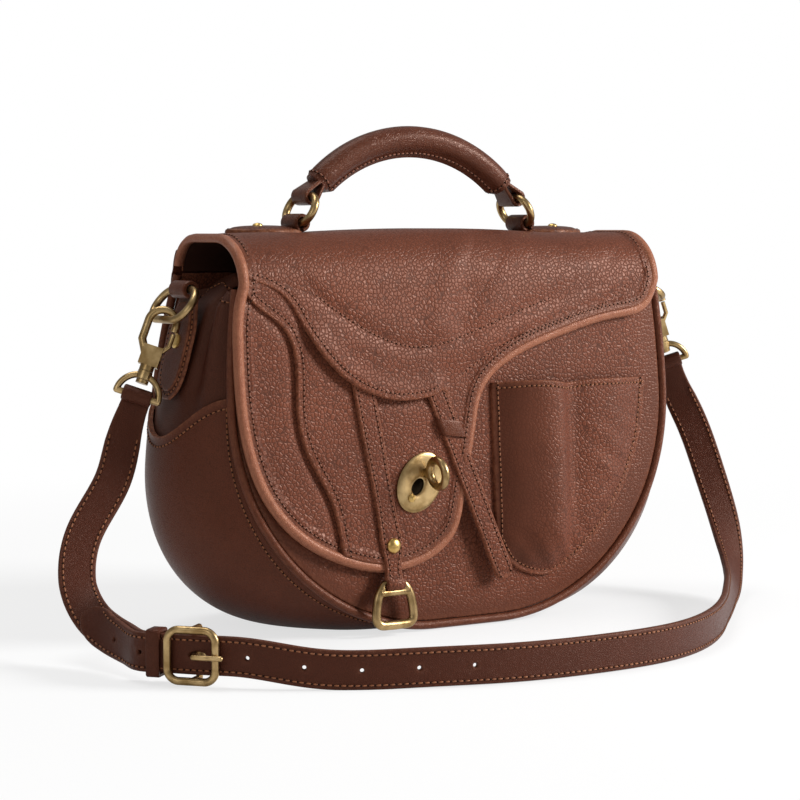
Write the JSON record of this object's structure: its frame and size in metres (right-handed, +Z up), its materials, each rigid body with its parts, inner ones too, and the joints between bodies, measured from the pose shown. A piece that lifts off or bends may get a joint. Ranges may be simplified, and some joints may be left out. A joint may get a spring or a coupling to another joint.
{
  "type": "saddle handbag",
  "caption": "D-shaped leather handbag with a sculpted saddle flap, turn lock, stirrup ornament, front pocket, rolled carrying handle on rings and a clip-on buckled shoulder strap.",
  "frame": {"origin": "middle of the flat base, on the floor", "axes": "+Z up, -Y out of the front with the flap, +X to the right seen from the front"},
  "size_m": [0.4532, 0.2792, 0.2815],
  "materials": {
    "leather": "pebbled, semi-gloss",
    "dark_leather": "smooth, semi-gloss",
    "brass": "antique, polished",
    "lining": "woven twill",
    "board": "matte"
  },
  "bodies": {
    "bag": {"front_panel": "leather", "back_panel": "leather", "lower_gusset": "leather", "upper_gusset_left": "dark_leather", "upper_gusset_right": "dark_leather", "front_piping": "dark_leather", "back_piping": "dark_leather", "front_lining": "lining", "back_lining": "lining", "base_board": "board", "front_pocket": "leather", "lock_receiver": "brass", "lock_backing": "brass", "side_tab_left": "dark_leather", "side_tab_right": "dark_leather", "side_tab_rivets": "brass", "bail_left": "brass", "bail_right": "brass", "strap_buckle_end": "dark_leather", "strap_punched_end": "dark_leather", "strap_keeper": "dark_leather", "buckle_frame": "brass"},
    "flap": {"flap_panel": "leather", "flap_rim": "leather", "flap_mid_panel": "leather", "flap_seat_panel": "leather", "stirrup_leather": "leather", "stirrup_rivet": "brass", "girth_strap": "leather", "girth_keeper": "leather", "lock_plate": "brass", "lock_plate_rivets": "brass", "handle_tab_left": "leather", "handle_tab_right": "leather", "handle_tab_rivets": "brass"},
    "turn_knob": {"turn_knob": "brass"},
    "stirrup": {"stirrup": "brass"},
    "handle_ring_left": {"handle_ring_left": "brass"},
    "handle_ring_right": {"handle_ring_right": "brass"},
    "handle": {"handle_cover": "leather", "handle_core": "board", "handle_loop_left": "leather", "handle_loop_right": "leather"},
    "side_ring_left": {"side_ring_left": "brass"},
    "side_ring_right": {"side_ring_right": "brass"},
    "hook_left": {"hook_left": "brass", "hook_gate_pin_left": "brass"},
    "hook_right": {"hook_right": "brass", "hook_gate_pin_right": "brass"},
    "gate_left": {"hook_gate_left": "brass"},
    "gate_right": {"hook_gate_right": "brass"},
    "prong": {"buckle_prong": "brass"}
  },
  "joints": [
    {"name": "flap_hinge", "type": "hinge", "parent": "bag", "child": "flap", "pos_m": [0, 0.027, 0.19894], "axis": [-1, 0, 0], "range_deg": [0, 100]},
    {"name": "knob_turn", "type": "hinge", "parent": "flap", "child": "turn_knob", "pos_m": [-0.0296, -0.05606, 0.08818], "axis": [0, -0.998, 0.0628], "range_deg": [0, 90]},
    {"name": "stirrup_swing", "type": "hinge", "parent": "flap", "child": "stirrup", "pos_m": [-0.053, -0.06087, 0.02936], "axis": [-1, 0, 0], "range_deg": [0, 70]},
    {"name": "handle_ring_left_tilt", "type": "hinge", "parent": "flap", "child": "handle_ring_left", "pos_m": [-0.0772, 0.003, 0.22605], "axis": [0, 1, 0], "range_deg": [-12, 12]},
    {"name": "handle_tilt", "type": "hinge", "parent": "handle_ring_left", "child": "handle", "pos_m": [-0.07051, 0.003, 0.2408], "axis": [0, 1, 0], "range_deg": [-14, 14]},
    {"name": "handle_ring_right_tilt", "type": "hinge", "parent": "flap", "child": "handle_ring_right", "pos_m": [0.0772, 0.003, 0.22605], "axis": [0, 1, 0], "range_deg": [-12, 12]},
    {"name": "side_ring_left_swing", "type": "hinge", "parent": "bag", "child": "side_ring_left", "pos_m": [-0.1514, -0.004, 0.19], "axis": [0, 1, 0], "range_deg": [-3, 2]},
    {"name": "hook_left_swivel", "type": "hinge", "parent": "bag", "child": "hook_left", "pos_m": [-0.17447, -0.004, 0.14672], "axis": [0.3746, 0, 0.9272], "range_deg": [-4, 16]},
    {"name": "hook_left_gate", "type": "hinge", "parent": "hook_left", "child": "gate_left", "pos_m": [-0.16923, -0.00531, 0.15431], "axis": [-0.505, -0.8387, 0.204], "range_deg": [0, 18], "stiffness_Nm_per_rad": 0.02},
    {"name": "side_ring_right_swing", "type": "hinge", "parent": "bag", "child": "side_ring_right", "pos_m": [0.1514, -0.004, 0.19], "axis": [0, 1, 0], "range_deg": [-1.5, 5]},
    {"name": "hook_right_swivel", "type": "hinge", "parent": "bag", "child": "hook_right", "pos_m": [0.18041, -0.004, 0.15393], "axis": [-0.3746, 0, 0.9272], "range_deg": [-4, 16]},
    {"name": "hook_right_gate", "type": "hinge", "parent": "hook_right", "child": "gate_right", "pos_m": [0.1789, -0.00531, 0.16303], "axis": [-0.505, -0.8387, -0.204], "range_deg": [0, 18], "stiffness_Nm_per_rad": 0.02},
    {"name": "prong_lift", "type": "hinge", "parent": "bag", "child": "prong", "pos_m": [-0.20587, -0.12169, 0.0154], "axis": [0, 0, -1], "range_deg": [0, 9]}
  ],
  "couplings": [
    {"joint": "handle_tilt", "follows": "handle_ring_left_tilt", "ratio": -1.0949},
    {"joint": "handle_ring_right_tilt", "follows": "handle_ring_left_tilt", "ratio": 1}
  ]
}
